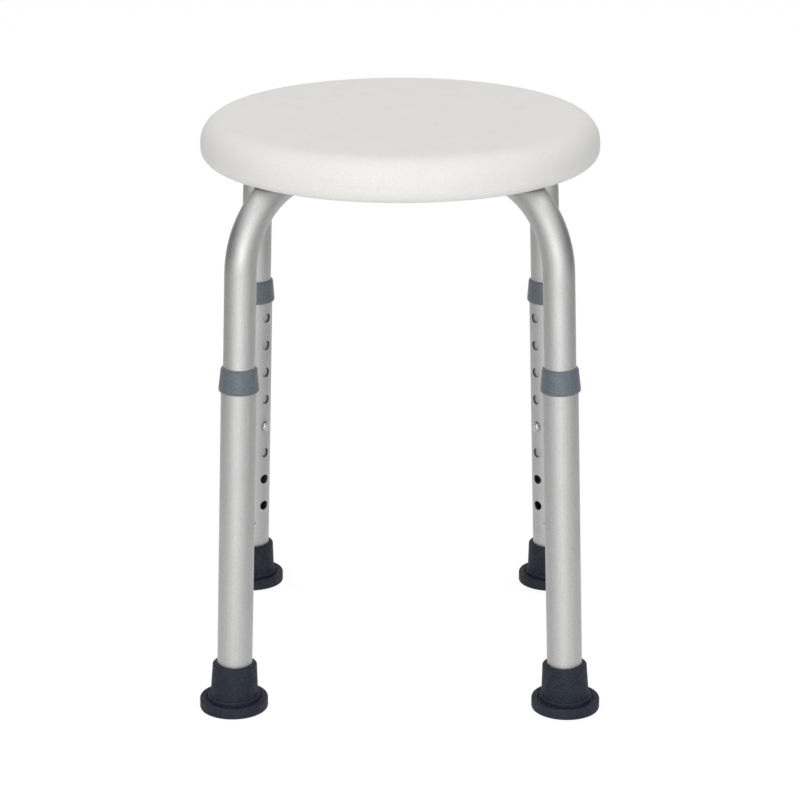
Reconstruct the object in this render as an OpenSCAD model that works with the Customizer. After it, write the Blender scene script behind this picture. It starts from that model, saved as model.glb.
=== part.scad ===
// Round shower stool with four telescopic legs.
// Two bent tube hoops cross under a hollow moulded seat and end in the four upper legs.
// Each lower leg slides over its upper leg and is held by a sprung button in a row of holes.
// The origin is on the floor, under the middle of the seat. Front is -Y, left is -X.

/* [Overall] */
// Height of the seat's rim above the floor, at the setting shown
seat_h = 456; // [380:1:560]
// Diameter of the seat
seat_d = 320; // [266:1:390]
// Reach of each foot's centre from the middle of the stool, on the floor
foot_reach = 188.6; // [157:0.1:230]

/* [Seat] */
// Thickness of the seat at its rim
seat_thick = 34; // [29:0.5:41]
// Thickness of the seat over the tubes, from the rim's crest to the underside
seat_web = 17.3; // [16:0.1:20]
// Radius of the rim's upper edge
crest_round = 20; // [16:0.5:21]
// Radius of the rim's lower edge
lower_round = 10; // [8:0.5:12]
// Depth of the dished top
dish = 2; // [0.5:0.1:3]
// Width of the rim's underside
rim_w = 34; // [28:0.5:41]
// Wall of the moulded skin
skin = 3; // [2.4:0.1:3.4]
// Gap between the seat's underside and the tubes
seat_gap = 0.2; // [0.1:0.05:0.4]
// Diameter of a tack-off dimple at its mouth
dimple_d = 14; // [11:0.5:17]
// Diameter of the blow hole
vent_d = 6; // [5:0.5:8]

/* [Tubes] */
// Outside diameter of the upper tubes
upper_d = 25; // [20.8:0.1:30]
// Wall of every tube
tube_wall = 1.2; // [1:0.1:1.5]
// Gap all round between an upper tube and the lower tube over it
tube_play = 0.3; // [0.2:0.05:0.5]
// Radius of the bend, at the tube's centre
bend_r = 69; // [57:1:83]
// How much thinner the tube's section is in the bend, in radius
bend_thin = 0.05; // [0.03:0.01:0.1]
// Lean of each leg, outwards and down
leg_lean = 2.5; // [2:0.1:3]
// Length of a lower tube
lower_l = 272; // [226:1:326]
// Height of a lower tube's end above the floor
lower_foot = 10; // [8:0.5:12]
// Gap between the two hoops where they cross
cross_gap = 0.2; // [0.1:0.05:0.5]
// Room along a pressed flat beside the tube that crosses it
press_room = 3; // [2:0.5:5]

/* [Height setting] */
// Distance from one hole to the next
hole_pitch = 25; // [20.8:0.1:30]
// Number of holes in a lower tube
hole_count = 8; // [6:1:9]
// Hole that holds the button, counted from the top
set_hole = 5; // [3:1:6]
// Distance from a lower tube's top end to its first hole
first_hole = 30.4; // [25:0.1:36]
// Diameter of the button
button_d = 8; // [6.6:0.1:9.6]
// Gap all round the button in its holes
button_play = 0.2; // [0.1:0.05:0.4]
// Distance that the button stands out of the lower tube
button_out = 3.5; // [2.5:0.1:4.5]
// Width of the spring strip
strip_w = 8; // [6.6:0.1:9.6]
// Thickness of the spring strip
strip_t = 0.8; // [0.6:0.1:1]
// Length of the spring's straight leaves above the button
leaf_up = 24; // [18:1:30]
// Length of the spring's leaves below the button
leaf_down = 11; // [8:1:14]
// Diameter of the button's rivet
rivet_d = 4; // [3:0.1:4.6]

/* [Collars] */
// Height of a collar
collar_h = 19.5; // [16:0.5:24]
// Height of the collar's lip over the end of the lower tube
collar_lip = 2.4; // [2:0.1:3.6]
// Outside diameter of the collar at its shoulder, over the upper tube's diameter
shoulder_over = 3.8; // [3:0.1:5]
// Outside diameter of the collar at its lower edge, over the lower tube's diameter
skirt_over = 3.8; // [3:0.1:5]
// Running gap between the collar's lip and the upper tube
lip_play = 0.1; // [0.05:0.01:0.15]
// Gap between parts that are pressed together
seat_play = 0.05; // [0.02:0.01:0.1]

/* [Tips] */
// Height of a rubber tip
tip_h = 37.7; // [31:0.1:46]
// Diameter of the tip's foot
foot_d = 54.7; // [46:0.1:66]
// Thickness of the foot at its edge
foot_t = 9; // [7.5:0.1:11]
// Outside diameter of the tip's sleeve at the top, over the lower tube's diameter
sleeve_over = 7.5; // [6:0.1:9]
// Outside diameter of the tip's sleeve at the foot, over the lower tube's diameter
neck_over = 10.4; // [9:0.1:13]
// Depth of the tread grooves
tread_depth = 1.2; // [0.8:0.1:1.8]
// Thickness of the steel washer inside the tip
plate_t = 2; // [1.5:0.1:2.4]

/* [Frame fixings] */
// Reach of the outer frame screws from the middle of the stool
screw_reach = 60; // [50:1:72]
// Diameter of the frame screws
screw_d = 6; // [5:0.1:7.2]
// Length of the frame screws under the head
screw_l = 35; // [29:0.5:42]
// Diameter of a screw's head
head_d = 12; // [10:0.1:14.4]
// Height of a screw's head
head_t = 4.4; // [3.6:0.1:5.2]
// Gap all round a screw in the tubes and the washers
screw_play = 0.3; // [0.2:0.05:0.5]
// Diameter of a washer
washer_d = 16; // [14:0.5:19]
// Thickness of a washer
washer_t = 1.2; // [1:0.1:1.5]
// Diameter of a threaded insert
insert_d = 9; // [8.6:0.1:10.8]
// Height of a threaded insert
insert_h = 10; // [8.4:0.1:12]
// Thickness of the plastic around an insert
boss_wall = 3.5; // [2.5:0.1:5]

/* [Hidden] */

$fn = 72;
eps = 0.01;

// Directions of the legs around the stool
front_left = 225;
front_right = 315;
rear_right = 45;
rear_left = 135;

seat_r = seat_d / 2;
rim_z = seat_h - seat_thick;
web_z = seat_h - seat_web;
recess_r = seat_r - rim_w;
crest_r = seat_r - crest_round;

upper_r = upper_d / 2;
upper_bore = upper_r - tube_wall;
lower_bore = upper_r + tube_play;
lower_r = lower_bore + tube_wall;

// Height of the hoops' level run, and where each leg starts to bend, measured along the leg
frame_z = web_z - seat_gap - upper_r;
bend_turn = 90 - leg_lean;
bend_lap = 1;
bend_s = (frame_z - bend_r + bend_r * sin(leg_lean)) / cos(leg_lean);
run_half = foot_reach - bend_s * sin(leg_lean) - bend_r * cos(leg_lean);

// Places along a leg, measured up its axis from the floor
lower_top = lower_foot + lower_l;
collar_top = lower_top + collar_lip;
button_s = lower_top - first_hole - (set_hole - 1) * hole_pitch;
upper_end = button_s - 1.5 * hole_pitch;
hole_r = button_d / 2 + button_play;

// The spring's leaves lie against the upper tube's bore
leaf_x = sqrt(pow(upper_bore - seat_play, 2) - pow(strip_w / 2, 2));
leaf_mid = leaf_x - strip_t / 2;

collar_shoulder = upper_r + shoulder_over / 2;
collar_skirt = lower_r + skirt_over / 2;

// Half lengths of the pressed flats where the hoops cross, outside and inside their end walls
press_half = upper_r + press_room;
press_end = press_half + tube_wall;

foot_r = foot_d / 2;
sleeve_r = lower_r + sleeve_over / 2;
neck_r = lower_r + neck_over / 2;
groove_r = neck_r + 3;
tip_bore = lower_r + seat_play;
plate_s = lower_foot - plate_t;

screw_hole = screw_d / 2 + screw_play;
tube_under = frame_z - upper_r;
washer_z = tube_under - seat_play - washer_t;
screw_seat = washer_z - seat_play;
insert_z = web_z;
screw_spots = [
    [0, 0],
    [front_left, screw_reach],
    [rear_right, screw_reach],
    [front_right, screw_reach],
    [rear_left, screw_reach]
];

// Tack-off dimples: three in each quarter between the tubes
dimple_reach = recess_r - 34;
dimple_depth = 8;
dimple_spread = 23;

// Places children at the foot of a leg, with Z up the leg's axis and -X towards the middle
module at_leg(direction) {
    rotate([0, 0, direction])
        translate([foot_reach, 0, 0])
            rotate([0, -leg_lean, 0])
                children();
}

// Places children at each frame screw, on the stool's vertical
module at_screws() {
    for (spot = screw_spots)
        rotate([0, 0, spot[0]])
            translate([spot[1], 0, 0])
                children();
}

module at_dimples() {
    for (quarter = [0:90:270])
        for (turn = [-dimple_spread, 0, dimple_spread])
            rotate([0, 0, quarter + turn])
                translate([dimple_reach, 0, 0])
                    children();
}

// A plain round bar, or a bore's cutter, along Z
module bar(r, from, to) {
    translate([0, 0, from])
        cylinder(r = r, h = to - from);
}

// A bar bent into a hoop along X, from a height on one leg over the top to the other leg.
// Each bend is a shade thinner than the straights and runs a little way into them.
module hoop_bar(r, from) {
    for (side = [0, 180])
        rotate([0, 0, side])
            translate([foot_reach, 0, 0])
                rotate([0, -leg_lean, 0]) {
                    bar(r, from, bend_s);
                    translate([-bend_r, 0, bend_s])
                        rotate([90, bend_lap, 0])
                            rotate_extrude(angle = bend_turn + 2 * bend_lap)
                                translate([bend_r, 0])
                                    circle(r = r - bend_thin);
                }
    translate([0, 0, frame_z])
        rotate([0, 90, 0])
            bar(r, -run_half, run_half);
}

// One hoop along X, with its crossing pressed flat from above (1) or from below (-1)
module pressed_hoop(pressed) {
    flat = cross_gap / 2;
    difference() {
        hoop_bar(upper_r, upper_end);
        difference() {
            hoop_bar(upper_bore, upper_end - 1);
            pressed_side(pressed, press_end, flat + tube_wall);
        }
        pressed_side(pressed, press_half, flat);
        for (side = [0, 180])
            rotate([0, 0, side])
                translate([foot_reach, 0, 0])
                    rotate([0, -leg_lean, 0])
                        translate([0, 0, button_s])
                            rotate([0, -90, 0])
                                cylinder(r = hole_r, h = upper_d);
        for (x = [-screw_reach, 0, screw_reach])
            translate([x, 0, 0])
                bar(screw_hole, tube_under - 1, web_z);
    }
}

// The space on one side of the crossing, from a depth past the middle of the tube outwards
module pressed_side(pressed, half, depth) {
    low = pressed > 0 ? frame_z - depth : frame_z + depth - upper_d;
    translate([-half, -upper_d, low])
        cube([2 * half, 2 * upper_d, upper_d]);
}

// Half outline of the seat's outside, or of its inside when inset by the skin
module seat_outline(inset) {
    top = seat_h - inset;
    low = rim_z + inset;
    crest = crest_round - inset;
    edge = lower_round - inset;
    difference() {
        union() {
            translate([0, low])
                square([crest_r, top - low]);
            translate([0, low])
                square([seat_r - lower_round, rim_z + lower_round - low + eps]);
            translate([0, rim_z + lower_round])
                square([seat_r - inset, seat_h - crest_round - rim_z - lower_round]);
            translate([crest_r, seat_h - crest_round])
                intersection() {
                    circle(r = crest);
                    square(crest);
                }
            translate([seat_r - lower_round, rim_z + lower_round])
                intersection() {
                    circle(r = edge);
                    translate([0, -edge])
                        square(edge);
                }
        }
        dish_outline(top);
        recess_outline(inset);
    }
}

// Shallow curve taken off the top of the seat
module dish_outline(top) {
    steps = 12;
    polygon([
        for (i = [0:steps])
            let (r = crest_r * i / steps)
                [r, top - dish * (1 + cos(180 * i / steps)) / 2],
        [crest_r, top + 1],
        [0, top + 1]
    ]);
}

// Hollow under the seat, with a drafted wall inside the rim
module recess_outline(inset) {
    polygon([
        [0, rim_z - 1],
        [recess_r + 4 + inset, rim_z - 1],
        [recess_r + 4 + inset, rim_z],
        [recess_r + inset, web_z + inset],
        [0, web_z + inset]
    ]);
}

module seat() {
    color([0.92, 0.92, 0.9])
        difference() {
            rotate_extrude()
                seat_outline(0);
            difference() {
                rotate_extrude()
                    seat_outline(skin);
                for (direction = [front_left, front_right])
                    rotate([0, 0, direction])
                        hoop_bar(upper_r + seat_gap + skin, upper_end);
                at_screws()
                    bar(insert_d / 2 + boss_wall, web_z, seat_h);
                at_dimples()
                    translate([0, 0, web_z])
                        cylinder(r1 = dimple_d / 2 + skin, r2 = dimple_d / 4 + skin, h = seat_web);
            }
            for (direction = [front_left, front_right])
                rotate([0, 0, direction])
                    hoop_bar(upper_r + seat_gap, upper_end);
            at_screws()
                bar(insert_d / 2 + seat_play, web_z - 1, insert_z + insert_h + seat_play);
            at_dimples()
                translate([0, 0, web_z - eps])
                    cylinder(r1 = dimple_d / 2, r2 = dimple_d / 4, h = dimple_depth);
            translate([0, recess_r / 3, web_z - 1])
                cylinder(r = vent_d / 2, h = skin + 2);
        }
}

module lower_tube() {
    color([0.78, 0.79, 0.8])
        difference() {
            bar(lower_r, lower_foot, lower_top);
            bar(lower_bore, lower_foot - 1, lower_top + 1);
            for (i = [0:hole_count - 1])
                translate([0, 0, lower_top - first_hole - i * hole_pitch])
                    rotate([0, -90, 0])
                        cylinder(r = hole_r, h = lower_r + 1);
        }
}

// Plastic ring that covers the tube's end and guides the upper tube
module collar() {
    color([0.4, 0.43, 0.46])
        rotate_extrude()
            polygon([
                [upper_r + lip_play, collar_top],
                [collar_shoulder - 1.4, collar_top],
                [collar_shoulder - 0.5, collar_top - 0.5],
                [collar_shoulder, collar_top - 1.6],
                [collar_skirt, collar_top - collar_h + 2.2],
                [collar_skirt - 0.1, collar_top - collar_h + 1],
                [collar_skirt - 0.9, collar_top - collar_h],
                [lower_r + seat_play, collar_top - collar_h],
                [lower_r + seat_play, lower_top + seat_play],
                [upper_r + lip_play, lower_top + seat_play]
            ]);
}

// Outline of the foot: a flat tread, a round edge, a dished top and a groove at the neck
module foot_outline() {
    polygon([
        [0, 0],
        [foot_r - 1.2, 0],
        [foot_r - 0.3, 0.4],
        [foot_r, 1.3],
        [foot_r, foot_t - 1.2],
        [foot_r - 0.4, foot_t - 0.3],
        [foot_r - 1.4, foot_t],
        [groove_r + 0.6, foot_t - 0.8],
        [groove_r - 0.6, foot_t - 2],
        [neck_r + 1.6, foot_t - 1.6],
        [neck_r + 1.6, foot_t + 1.4],
        [neck_r + 0.8, foot_t + 2.4],
        [0, foot_t + 2.4]
    ]);
}

module tip(direction) {
    color([0.15, 0.17, 0.21])
        difference() {
            union() {
                rotate([0, 0, direction])
                    translate([foot_reach, 0, 0])
                        rotate_extrude()
                            foot_outline();
                at_leg(direction)
                    rotate_extrude()
                        polygon([
                            [0, foot_t - 1],
                            [neck_r, foot_t - 1],
                            [neck_r, foot_t + 1],
                            [sleeve_r, tip_h - 1],
                            [sleeve_r - 0.9, tip_h],
                            [0, tip_h]
                        ]);
            }
            at_leg(direction)
                bar(tip_bore, plate_s - seat_play, tip_h + 1);
            rotate([0, 0, direction])
                translate([foot_reach, 0, 0])
                    for (r = [8:6:foot_r - 6])
                        difference() {
                            bar(r + 1.6, -1, tread_depth);
                            bar(r, -2, tread_depth + 1);
                        }
        }
}

// Steel washer under the end of the lower tube
module tip_plate() {
    color([0.6, 0.6, 0.62])
        difference() {
            bar(lower_r - 0.2, plate_s, lower_foot - seat_play);
            bar(lower_r / 3, plate_s - 1, lower_foot + 1);
        }
}

// Button with a domed end, riveted to its spring leaf and pointing to the middle of the stool
module button() {
    reach = lower_r + button_out;
    dome = button_d / 2;
    squash = 2.2;
    color([0.72, 0.73, 0.75])
        translate([0, 0, button_s])
            rotate([0, -90, 0]) {
                rotate_extrude()
                    union() {
                        translate([0, leaf_x + seat_play])
                            square([dome, reach - squash - leaf_x - seat_play]);
                        translate([0, reach - squash])
                            intersection() {
                                square([dome - 1, squash]);
                                square(dome);
                            }
                        translate([dome - squash, reach - squash])
                            intersection() {
                                circle(r = squash);
                                square(squash);
                            }
                        translate([0, reach - squash])
                            square([dome - squash, squash]);
                    }
                bar(rivet_d / 2, leaf_x - strip_t - 1, leaf_x + seat_play + eps);
            }
}

// Hairpin spring: two leaves along the bore, joined by a half ring at the top
module spring() {
    color([0.66, 0.67, 0.7])
        translate([0, 0, button_s])
            difference() {
                rotate([90, 0, 0])
                    linear_extrude(height = strip_w, center = true) {
                        for (side = [-1, 1])
                            translate([side * leaf_mid - strip_t / 2, -leaf_down])
                                square([strip_t, leaf_down + leaf_up]);
                        translate([0, leaf_up])
                            intersection() {
                                difference() {
                                    circle(r = leaf_x);
                                    circle(r = leaf_x - strip_t);
                                }
                                translate([-leaf_x, -eps])
                                    square([2 * leaf_x, leaf_x + 1]);
                            }
                    }
                rotate([0, -90, 0])
                    bar(rivet_d / 2 + seat_play, 0, upper_r);
            }
}

// Pan-head screw, head down, with a cross recess
module frame_screw() {
    difference() {
        union() {
            bar(screw_d / 2, screw_seat - eps, screw_seat + screw_l);
            bar(head_d / 2, screw_seat - head_t + 1.4, screw_seat);
            translate([0, 0, screw_seat - head_t])
                cylinder(r1 = head_d / 2 - 1.6, r2 = head_d / 2, h = 1.4);
        }
        for (turn = [0, 90])
            rotate([0, 0, turn])
                translate([-head_d / 4, -0.6, screw_seat - head_t - 1])
                    cube([head_d / 2, 1.2, 1 + head_t / 2]);
    }
}

module frame_screws() {
    color([0.7, 0.71, 0.73])
        at_screws()
            frame_screw();
}

module frame_washers() {
    color([0.7, 0.71, 0.73])
        at_screws()
            difference() {
                bar(washer_d / 2, washer_z, washer_z + washer_t);
                bar(screw_hole, washer_z - 1, washer_z + washer_t + 1);
            }
}

module threaded_inserts() {
    color([0.8, 0.66, 0.35])
        at_screws()
            difference() {
                bar(insert_d / 2, insert_z, insert_z + insert_h);
                bar(screw_d / 2 + seat_play, insert_z - 1, insert_z + insert_h + 1);
            }
}

module hoop_lower() {
    color([0.78, 0.79, 0.8])
        rotate([0, 0, rear_right])
            pressed_hoop(1);
}

module hoop_upper() {
    color([0.78, 0.79, 0.8])
        rotate([0, 0, rear_left])
            pressed_hoop(-1);
}

module leg_front_left() { at_leg(front_left) lower_tube(); }
module leg_front_right() { at_leg(front_right) lower_tube(); }
module leg_rear_right() { at_leg(rear_right) lower_tube(); }
module leg_rear_left() { at_leg(rear_left) lower_tube(); }

module collar_front_left() { at_leg(front_left) collar(); }
module collar_front_right() { at_leg(front_right) collar(); }
module collar_rear_right() { at_leg(rear_right) collar(); }
module collar_rear_left() { at_leg(rear_left) collar(); }

module tip_front_left() { tip(front_left); }
module tip_front_right() { tip(front_right); }
module tip_rear_right() { tip(rear_right); }
module tip_rear_left() { tip(rear_left); }

module tip_plate_front_left() { at_leg(front_left) tip_plate(); }
module tip_plate_front_right() { at_leg(front_right) tip_plate(); }
module tip_plate_rear_right() { at_leg(rear_right) tip_plate(); }
module tip_plate_rear_left() { at_leg(rear_left) tip_plate(); }

module button_front_left() { at_leg(front_left) button(); }
module button_front_right() { at_leg(front_right) button(); }
module button_rear_right() { at_leg(rear_right) button(); }
module button_rear_left() { at_leg(rear_left) button(); }

module spring_front_left() { at_leg(front_left) spring(); }
module spring_front_right() { at_leg(front_right) spring(); }
module spring_rear_right() { at_leg(rear_right) spring(); }
module spring_rear_left() { at_leg(rear_left) spring(); }

seat();
hoop_lower();
hoop_upper();
leg_front_left();
leg_front_right();
leg_rear_right();
leg_rear_left();
collar_front_left();
collar_front_right();
collar_rear_right();
collar_rear_left();
tip_front_left();
tip_front_right();
tip_rear_right();
tip_rear_left();
tip_plate_front_left();
tip_plate_front_right();
tip_plate_rear_right();
tip_plate_rear_left();
button_front_left();
button_front_right();
button_rear_right();
button_rear_left();
spring_front_left();
spring_front_right();
spring_rear_right();
spring_rear_left();
frame_screws();
frame_washers();
threaded_inserts();
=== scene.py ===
import math

import bpy
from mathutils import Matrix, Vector


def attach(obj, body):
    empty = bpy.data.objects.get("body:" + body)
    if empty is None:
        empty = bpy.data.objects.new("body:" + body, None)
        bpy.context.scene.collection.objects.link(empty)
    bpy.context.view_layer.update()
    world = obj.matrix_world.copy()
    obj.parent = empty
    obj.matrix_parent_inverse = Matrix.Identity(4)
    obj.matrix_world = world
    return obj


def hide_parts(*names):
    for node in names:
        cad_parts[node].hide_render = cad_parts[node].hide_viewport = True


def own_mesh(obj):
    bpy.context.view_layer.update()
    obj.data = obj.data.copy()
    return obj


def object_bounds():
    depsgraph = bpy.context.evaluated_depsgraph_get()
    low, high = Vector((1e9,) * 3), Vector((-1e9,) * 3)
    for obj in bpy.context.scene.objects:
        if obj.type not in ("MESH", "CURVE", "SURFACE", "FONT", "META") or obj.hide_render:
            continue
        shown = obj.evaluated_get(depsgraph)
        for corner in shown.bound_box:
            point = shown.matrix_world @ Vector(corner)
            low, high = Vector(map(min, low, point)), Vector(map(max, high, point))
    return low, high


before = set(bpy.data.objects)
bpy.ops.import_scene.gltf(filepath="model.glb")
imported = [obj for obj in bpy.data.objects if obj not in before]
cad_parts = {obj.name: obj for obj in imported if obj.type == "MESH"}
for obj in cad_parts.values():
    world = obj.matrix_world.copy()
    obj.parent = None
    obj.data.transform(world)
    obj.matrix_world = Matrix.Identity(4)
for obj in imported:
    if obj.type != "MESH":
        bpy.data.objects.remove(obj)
cad_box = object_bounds()

# Direction of each leg around the stool, and how far a leg leans from upright, in degrees
CORNERS = {"front_left": 225, "front_right": 315, "rear_right": 45, "rear_left": 135}
LEG_LEAN = 2.5

# The camera's lens and sensor in millimetres, its place in metres and its turns in degrees
LENS = 122.18
SENSOR = 36
CAMERA_SPOT = (0.0081, -2.1288, 0.9324)
CAMERA_TILT = 18.618
CAMERA_TURN = 0.224
CAMERA_REACH = 50

# The studio: its grey fill light, and its floor, which glows a little past white to the camera
FILL_GREY = 0.48
FLOOR_SIZE = 12
FLOOR_GAP = 0.0002
FLOOR_GREY = 0.9
FLOOR_GLOW = 1.12
FLOOR_GLOW_SHARE = 0.8

# Dark panels on both sides, which the tubes' edges reflect
CARD_GREY = 0.12
CARD_REACH = 1.6
CARD_SIZE = (2.6, 2.0)

# Most values of a noise texture lie between these two
NOISE_LOW = 0.3
NOISE_HIGH = 0.7


# ---------------------------------------------------------------- materials


class Shader:
    """A Principled material with short helpers for its procedural nodes."""

    def __init__(self, name, color, roughness, metallic=0.0):
        self.material = bpy.data.materials.new(name)
        self.material.use_nodes = True
        self.nodes = self.material.node_tree.nodes
        self.links = self.material.node_tree.links
        self.bsdf = self.nodes["Principled BSDF"]
        self.bsdf.inputs["Base Color"].default_value = (*color, 1)
        self.bsdf.inputs["Roughness"].default_value = roughness
        self.bsdf.inputs["Metallic"].default_value = metallic
        self.height = None

    def node(self, kind, **settings):
        made = self.nodes.new(kind)
        for key, value in settings.items():
            setattr(made, key, value)
        return made

    def join(self, source, target):
        self.links.new(source, target)

    def place(self, scale=(1, 1, 1), turn=(0, 0, 0)):
        """Object coordinates in metres, turned and then scaled."""
        coords = self.node("ShaderNodeTexCoord")
        mapping = self.node("ShaderNodeMapping", vector_type="TEXTURE")
        mapping.inputs["Rotation"].default_value = turn
        mapping.inputs["Scale"].default_value = tuple(1 / s for s in scale)
        self.join(coords.outputs["Object"], mapping.inputs["Vector"])
        return mapping.outputs["Vector"]

    def noise(self, scale, detail=3, rough=0.5, vector=None):
        made = self.node("ShaderNodeTexNoise")
        made.inputs["Scale"].default_value = scale
        made.inputs["Detail"].default_value = detail
        made.inputs["Roughness"].default_value = rough
        self.join(vector or self.place(), made.inputs["Vector"])
        return made.outputs["Fac"]

    def two_tone(self, value, base, dark, light):
        """Runs from a darker to a lighter tint of a colour as a noise rises."""
        made = self.node("ShaderNodeValToRGB")
        low, high = made.color_ramp.elements
        low.position = NOISE_LOW
        low.color = (*tint(base, dark), 1)
        high.position = NOISE_HIGH
        high.color = (*tint(base, light), 1)
        self.join(value, made.inputs["Fac"])
        return made.outputs["Color"]

    def span(self, value, low, high, to_low, to_high):
        made = self.node("ShaderNodeMapRange")
        made.inputs["From Min"].default_value = low
        made.inputs["From Max"].default_value = high
        made.inputs["To Min"].default_value = to_low
        made.inputs["To Max"].default_value = to_high
        self.join(value, made.inputs["Value"])
        return made.outputs["Result"]

    def blend(self, share, color, other):
        mix = self.node("ShaderNodeMix", data_type="RGBA")
        self.join(share, mix.inputs["Factor"])
        self.join(color, mix.inputs["A"])
        mix.inputs["B"].default_value = (*other, 1)
        return mix.outputs["Result"]

    def speckled(self, color, speck, scale, low, high):
        """Scatters fine specks of another colour."""
        share = self.span(self.noise(scale, 2, 0.6), low, high, 0.0, 1.0)
        return self.blend(share, color, speck)

    def painted_gap_shade(self, color, dark, reach):
        """Paints shade into a colour in holes and narrow gaps, where little light reaches."""
        gap = self.node("ShaderNodeAmbientOcclusion", samples=8)
        gap.inputs["Distance"].default_value = reach
        share = self.span(gap.outputs["AO"], 0.25, 0.7, 1.0, 0.0)
        return self.blend(share, color, dark)

    def worn(self, color, edge_color, width):
        """Changes a colour along edges, in patches."""
        soft = self.node("ShaderNodeBevel", samples=4)
        soft.inputs["Radius"].default_value = width
        sharp = self.node("ShaderNodeNewGeometry")
        match = self.node("ShaderNodeVectorMath", operation="DOT_PRODUCT")
        self.join(soft.outputs["Normal"], match.inputs[0])
        self.join(sharp.outputs["Normal"], match.inputs[1])
        edge = self.span(match.outputs["Value"], 0.99, 0.9, 0.0, 0.6)
        patch = self.span(self.noise(160), 0.4, 0.65, 0.0, 1.0)
        share = self.node("ShaderNodeMath", operation="MULTIPLY")
        self.join(edge, share.inputs[0])
        self.join(patch, share.inputs[1])
        return self.blend(share.outputs["Value"], color, edge_color)

    def color(self, value):
        self.join(value, self.bsdf.inputs["Base Color"])

    def vary_roughness(self, scale, low, high, detail=3):
        patches = self.noise(scale, detail)
        rough = self.span(patches, NOISE_LOW, NOISE_HIGH, low, high)
        self.join(rough, self.bsdf.inputs["Roughness"])

    def bump(self, value, depth, strength):
        """Adds a relief on top of those added before it."""
        made = self.node("ShaderNodeBump")
        made.inputs["Distance"].default_value = depth
        made.inputs["Strength"].default_value = strength
        self.join(value, made.inputs["Height"])
        if self.height:
            self.join(self.height, made.inputs["Normal"])
        self.height = made.outputs["Normal"]
        self.join(self.height, self.bsdf.inputs["Normal"])


def tint(color, factor):
    return tuple(min(1.0, c * factor) for c in color)


def seat_plastic():
    """White polyethylene with a fine moulded stipple and faint mottling."""
    base = (0.865, 0.857, 0.825)
    shader = Shader("seat_plastic", base, roughness=0.5)
    shader.bsdf.inputs["Specular IOR Level"].default_value = 0.3
    shade = shader.two_tone(shader.noise(38, 4, 0.6), base, dark=0.98, light=1.01)
    shade = shader.speckled(shade, tint(base, 0.93), scale=800, low=0.45, high=0.75)
    shader.color(shader.worn(shade, tint(base, 0.9), width=0.001))
    shader.vary_roughness(scale=120, low=0.44, high=0.58)
    shader.bump(shader.noise(900, 2, 0.4), depth=0.0002, strength=0.7)
    shader.bump(shader.noise(60, 2), depth=0.0004, strength=0.15)
    return shader.material


def aluminium(name, shade_paint_color, shade_paint_reach, direction=None):
    """Satin anodised tube with fine draw lines and a blasted grain."""
    base = (0.538, 0.537, 0.534)
    shader = Shader(name, base, roughness=0.54, metallic=1.0)
    turn = (0, 0, 0)
    if direction is not None:
        turn = (0, math.radians(-LEG_LEAN), math.radians(direction))
    lines = shader.noise(1, 3, 0.6, shader.place(scale=(700, 700, 8), turn=turn))
    shade = shader.two_tone(lines, base, dark=0.96, light=1.02)
    shade = shader.speckled(shade, tint(base, 0.8), scale=1300, low=0.5, high=0.72)
    shade = shader.worn(shade, tint(base, 1.15), width=0.0006)
    # Painted shade: the tube is darkened in its holes, in the bore and where it meets other parts.
    shader.color(shader.painted_gap_shade(shade, shade_paint_color, shade_paint_reach))
    shader.vary_roughness(scale=45, low=0.5, high=0.58, detail=4)
    shader.bump(shader.noise(1500, 2), depth=0.00006, strength=0.5)
    shader.bump(lines, depth=0.00003, strength=0.3)
    return shader.material


def collar_plastic():
    """Grey moulded plastic with a sparkle texture."""
    base = (0.112, 0.132, 0.153)
    shader = Shader("collar_plastic", base, roughness=0.42)
    shade = shader.two_tone(shader.noise(90, 4), base, dark=0.92, light=1.08)
    shade = shader.speckled(shade, tint(base, 1.7), scale=1100, low=0.5, high=0.75)
    shader.color(shader.worn(shade, tint(base, 2.2), width=0.0008))
    shader.vary_roughness(scale=300, low=0.36, high=0.5)
    shader.bump(shader.noise(1000, 2), depth=0.00012, strength=0.6)
    return shader.material


def tip_rubber():
    """Near-black rubber with dust in its grain."""
    base = (0.013, 0.0165, 0.026)
    shader = Shader("tip_rubber", base, roughness=0.65)
    shader.bsdf.inputs["Specular IOR Level"].default_value = 0.25
    shade = shader.two_tone(shader.noise(140, 5, 0.6), base, dark=0.8, light=1.35)
    shade = shader.speckled(shade, tint(base, 4), scale=1400, low=0.52, high=0.78)
    shader.color(shader.worn(shade, tint(base, 4), width=0.0008))
    shader.vary_roughness(scale=260, low=0.55, high=0.75)
    shader.bump(shader.noise(900), depth=0.00015, strength=0.6)
    return shader.material


def fitting_metal(name, base, rough):
    """Bare or plated metal of the small parts, with shade painted where they meet."""
    shader = Shader(name, base, rough, metallic=1.0)
    shade = shader.two_tone(shader.noise(500), base, dark=0.9, light=1.05)
    shade = shader.worn(shade, tint(base, 1.2), width=0.0004)
    # Painted shade: near black in holes and where the small parts meet others.
    shader.color(shader.painted_gap_shade(shade, dark=(0.03, 0.03, 0.03), reach=0.003))
    shader.vary_roughness(scale=700, low=rough * 0.8, high=rough * 1.3)
    shader.bump(shader.noise(3000, 2), depth=0.00003, strength=0.3)
    return shader.material


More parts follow.
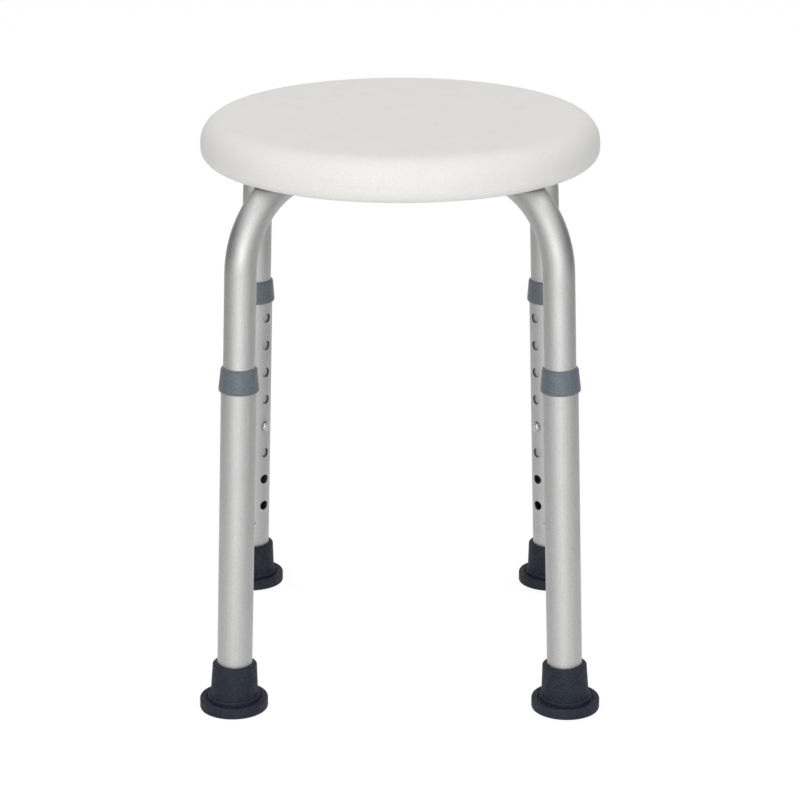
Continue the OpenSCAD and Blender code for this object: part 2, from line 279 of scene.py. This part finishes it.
def dress():
    """Gives every CAD node the material that goes with the start of its name."""
    zinc = fitting_metal("zinc_steel", (0.5, 0.51, 0.525), 0.34)
    materials = {
        "seat": seat_plastic(),
        # The hoops get a grey painted shade where they enter the seat and the collars.
        "hoop": aluminium("hoop_aluminium", shade_paint_color=(0.28, 0.28, 0.28), shade_paint_reach=0.004),
        "collar": collar_plastic(),
        "tip_plate": zinc,
        "tip": tip_rubber(),
        "button": fitting_metal("bright_steel", (0.56, 0.57, 0.585), 0.26),
        "spring": zinc,
        "frame": zinc,
        "threaded": fitting_metal("insert_brass", (0.75, 0.55, 0.26), 0.3),
    }
    for corner, direction in CORNERS.items():
        # The legs get a near-black painted shade in their holes and where they meet the upper tubes.
        materials["leg_" + corner] = aluminium(
            "leg_aluminium_" + corner, shade_paint_color=(0.02, 0.02, 0.02), shade_paint_reach=0.007, direction=direction
        )
    for name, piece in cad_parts.items():
        start = next(key for key in materials if name.startswith(key))
        piece.data.materials.clear()
        piece.data.materials.append(materials[start])


# ---------------------------------------------------------------- springs


def flex_springs():
    """Puts a copy of each spring, with a mesh of its own, on the frame body in place of the CAD spring.
    """
    for corner in CORNERS:
        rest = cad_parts["spring_" + corner]
        piece = bpy.data.objects.new("hairpin_" + corner, rest.data.copy())
        bpy.context.scene.collection.objects.link(piece)
        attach(piece, "frame")
        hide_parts("spring_" + corner)
        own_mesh(piece)


# ---------------------------------------------------------------- stage


def place_camera():
    data = bpy.data.cameras.new("camera")
    data.sensor_width = SENSOR
    data.lens = LENS
    data.clip_end = CAMERA_REACH
    camera = bpy.data.objects.new("camera", data)
    bpy.context.scene.collection.objects.link(camera)
    camera.location = CAMERA_SPOT
    camera.rotation_euler = (math.radians(90 - CAMERA_TILT), 0, math.radians(CAMERA_TURN))
    bpy.context.scene.camera = camera


def soft_light(name, spot, target, size, power):
    data = bpy.data.lights.new(name, "AREA")
    data.shape = "RECTANGLE"
    data.size = size[0]
    data.size_y = size[1]
    data.energy = power
    light = bpy.data.objects.new(name, data)
    bpy.context.scene.collection.objects.link(light)
    light.location = spot
    aim = Vector(target) - Vector(spot)
    light.rotation_euler = aim.to_track_quat("-Z", "Y").to_euler()


def seen_share(nodes, links):
    """1 for rays from the camera, off metal or through clear things, and 0 for the rest."""
    path = nodes.new("ShaderNodeLightPath")
    share = path.outputs["Is Camera Ray"]
    for kind in ("Is Glossy Ray", "Is Transmission Ray"):
        either = nodes.new("ShaderNodeMath")
        either.operation = "MAXIMUM"
        links.new(share, either.inputs[0])
        links.new(path.outputs[kind], either.inputs[1])
        share = either.outputs["Value"]
    return share


def mixed(nodes, links, share, first, second):
    """A shader that goes from the first to the second as the share goes from 0 to 1."""
    mix = nodes.new("ShaderNodeMixShader")
    links.new(share, mix.inputs["Fac"])
    links.new(first, mix.inputs[1])
    links.new(second, mix.inputs[2])
    return mix.outputs["Shader"]


def white_world():
    """White where it is seen past the object, and a level grey light on the object."""
    world = bpy.data.worlds.new("studio")
    bpy.context.scene.world = world
    world.use_nodes = True
    nodes = world.node_tree.nodes
    links = world.node_tree.links
    fill = nodes["Background"]
    fill.inputs["Color"].default_value = (FILL_GREY, FILL_GREY, FILL_GREY, 1)
    white = nodes.new("ShaderNodeBackground")
    white.inputs["Color"].default_value = (1, 1, 1, 1)
    share = seen_share(nodes, links)
    surface = mixed(nodes, links, share, fill.outputs["Background"], white.outputs["Background"])
    links.new(surface, nodes["World Output"].inputs["Surface"])


def floor_material():
    """White where it is seen, with the stool's soft shadow, and clear from below."""
    made = bpy.data.materials.new("floor_white")
    made.use_nodes = True
    nodes = made.node_tree.nodes
    links = made.node_tree.links
    paint = nodes["Principled BSDF"]
    paint.inputs["Base Color"].default_value = (FLOOR_GREY, FLOOR_GREY, FLOOR_GREY, 1)
    paint.inputs["Roughness"].default_value = 0.9
    glow = nodes.new("ShaderNodeEmission")
    glow.inputs["Strength"].default_value = FLOOR_GLOW
    share = nodes.new("ShaderNodeMath")
    share.operation = "MULTIPLY"
    share.inputs[1].default_value = FLOOR_GLOW_SHARE
    links.new(seen_share(nodes, links), share.inputs[0])
    top = mixed(nodes, links, share.outputs["Value"], paint.outputs["BSDF"], glow.outputs["Emission"])
    clear = nodes.new("ShaderNodeBsdfTransparent")
    below = nodes.new("ShaderNodeNewGeometry").outputs["Backfacing"]
    surface = mixed(nodes, links, below, top, clear.outputs["BSDF"])
    links.new(surface, nodes["Material Output"].inputs["Surface"])
    return made


def pale_floor():
    bpy.ops.mesh.primitive_plane_add(size=FLOOR_SIZE, location=(0, 0, cad_box[0][2] - FLOOR_GAP))
    floor = bpy.context.object
    floor.name = "floor"
    floor.data.materials.append(floor_material())


def dark_card(name, side):
    """A matt panel out of the picture, to the left (-1) or to the right (1)."""
    spot = (side * CARD_REACH, 0.2, 0.6)
    turn = (math.radians(90), 0, math.radians(-90 * side))
    bpy.ops.mesh.primitive_plane_add(size=1, location=spot, rotation=turn)
    card = bpy.context.object
    card.name = name
    card.scale = (*CARD_SIZE, 1)
    card.data.materials.append(Shader(name, (CARD_GREY, CARD_GREY, CARD_GREY), roughness=1.0).material)
    card.visible_camera = False
    card.visible_shadow = False
    card.visible_diffuse = False


dress()
flex_springs()
place_camera()
white_world()
pale_floor()
soft_light("front", spot=(-0.15, -2.4, 0.75), target=(0, 0, 0.3), size=(1.7, 1.3), power=21)
soft_light("overhead", spot=(0, -0.3, 2.2), target=(0, 0, 0.4), size=(1.6, 1.6), power=11)
dark_card("card_left", -1)
dark_card("card_right", 1)
bpy.context.scene.view_settings.view_transform = "Standard"
